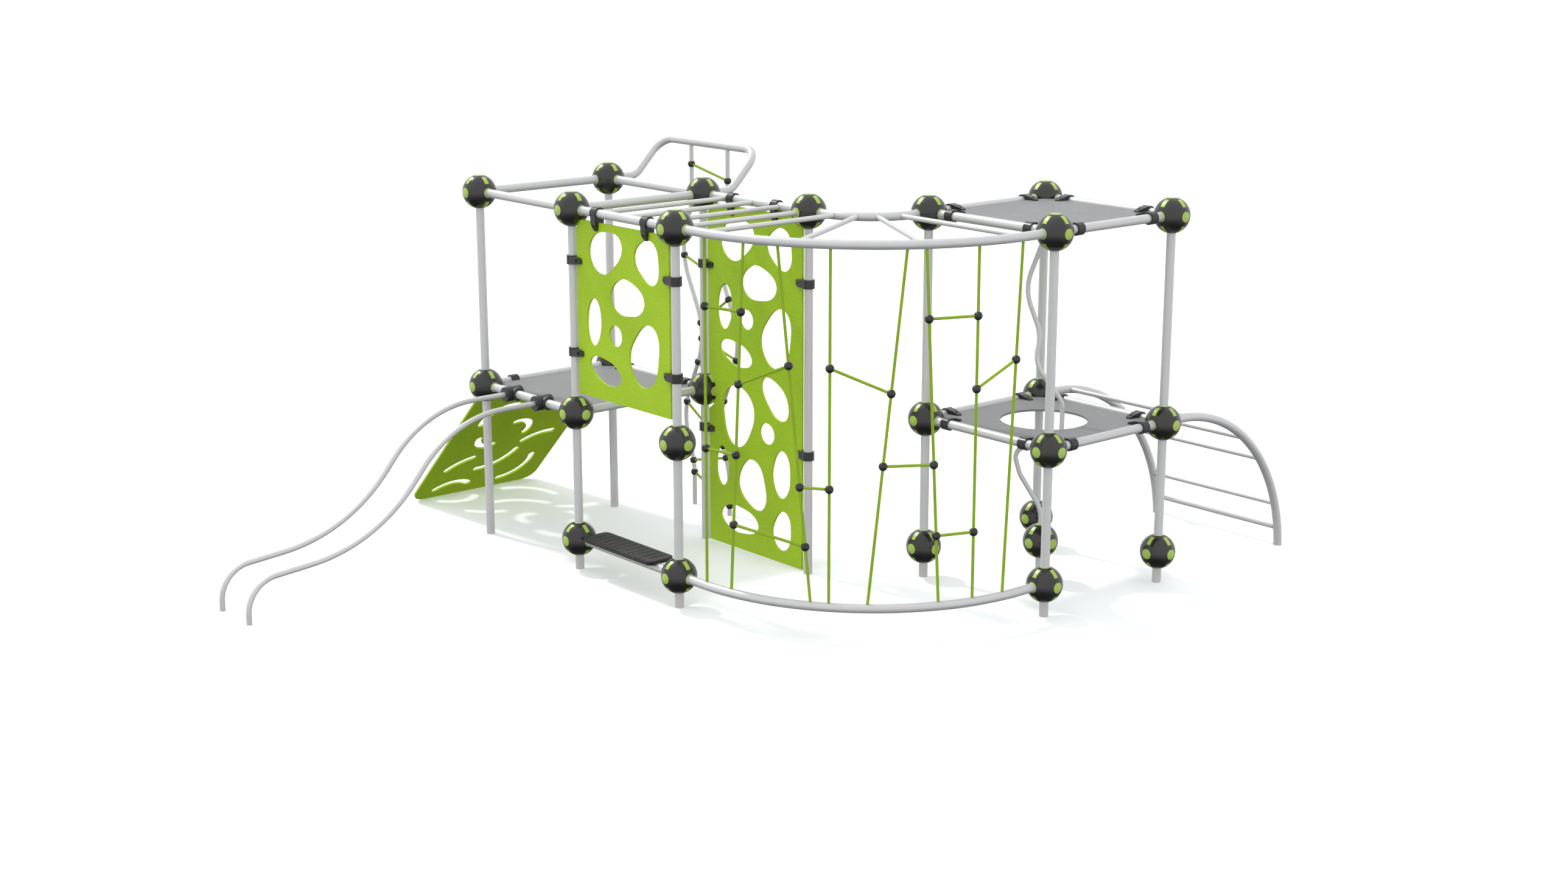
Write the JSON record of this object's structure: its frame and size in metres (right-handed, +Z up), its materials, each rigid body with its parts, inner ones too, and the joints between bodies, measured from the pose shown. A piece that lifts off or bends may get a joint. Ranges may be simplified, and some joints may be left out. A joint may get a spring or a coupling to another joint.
{
  "type": "modular climbing frame",
  "caption": "Playground climbing frame of round tubes and ball hubs: low tower with ramp, curved monkey-bar bridge with rope net, tall tower with waved pole and arched ladder.",
  "frame": {"origin": "on the ground under the middle of the part's box", "axes": "+Z up, +X along the straight bridge from the low tower to the tall tower, +Y away from the slide rails towards the arched ladder"},
  "size_m": [4.154, 5.2206, 2.2511],
  "materials": {
    "galvanised_tube": "satin galvanised steel tube",
    "rung_tube": "satin steel rung",
    "slide_tube": "polished steel slide rail",
    "hub_shell": "dark charcoal moulded plastic",
    "hub_core": "bare casting, hidden in the shell",
    "green_plastic": "pastel lime moulded plastic",
    "panel_green": "lime green board with a fine grain",
    "deck_grey": "mid grey textured board",
    "clamp_black": "near-black moulded plastic",
    "tread_black": "near-black rubber tread",
    "bead_black": "dark moulded rope bead",
    "rope_green": "laid lime green rope",
    "screw_steel": "button-head steel screw"
  },
  "bodies": {
    "root": {"ground_posts": "galvanised_tube", "stub_posts": "galvanised_tube", "lower_posts": "galvanised_tube", "upper_posts": "galvanised_tube", "tall_post": "galvanised_tube", "low_tower_top_rails": "galvanised_tube", "low_tower_deck_rails": "galvanised_tube", "tall_tower_top_rails": "galvanised_tube", "tall_tower_deck_rails": "galvanised_tube", "bridge_rails": "galvanised_tube", "step_rail": "galvanised_tube", "outer_rail_top": "galvanised_tube", "outer_rail_bottom": "galvanised_tube", "inner_rail_top": "galvanised_tube", "bridge_rungs": "rung_tube", "bridge_end_rung": "rung_tube", "bend_rungs": "rung_tube", "hub_cores": "hub_core", "hub_shells_top": "hub_shell", "hub_shells_mid": "hub_shell", "hub_shells_low": "hub_shell", "hub_collars": "green_plastic", "hub_caps": "green_plastic", "hub_adapters": "green_plastic", "hub_tabs_top": "green_plastic", "hub_tabs_mid": "green_plastic", "hub_tabs_low": "green_plastic", "low_deck": "deck_grey", "tall_deck_mid": "deck_grey", "tall_deck_top": "deck_grey", "front_panel": "panel_green", "tall_panel": "panel_green", "ramp": "panel_green", "deck_clamps_low": "clamp_black", "deck_clamps_mid": "clamp_black", "deck_clamps_top": "clamp_black", "panel_clamps": "clamp_black", "ramp_clamps": "clamp_black", "clamp_screws": "screw_steel", "slide_rails": "slide_tube", "slide_tees": "clamp_black", "step_tread": "tread_black", "grab_loop": "galvanised_tube", "ladder_poles": "rung_tube", "ladder_beads": "bead_black", "ladder_ropes": "rope_green", "net_ropes": "rope_green", "net_beads": "bead_black", "net_links": "rope_green", "waved_pole": "rung_tube", "arch_tubes": "galvanised_tube", "arch_rungs": "rung_tube"}
  },
  "joints": []
}
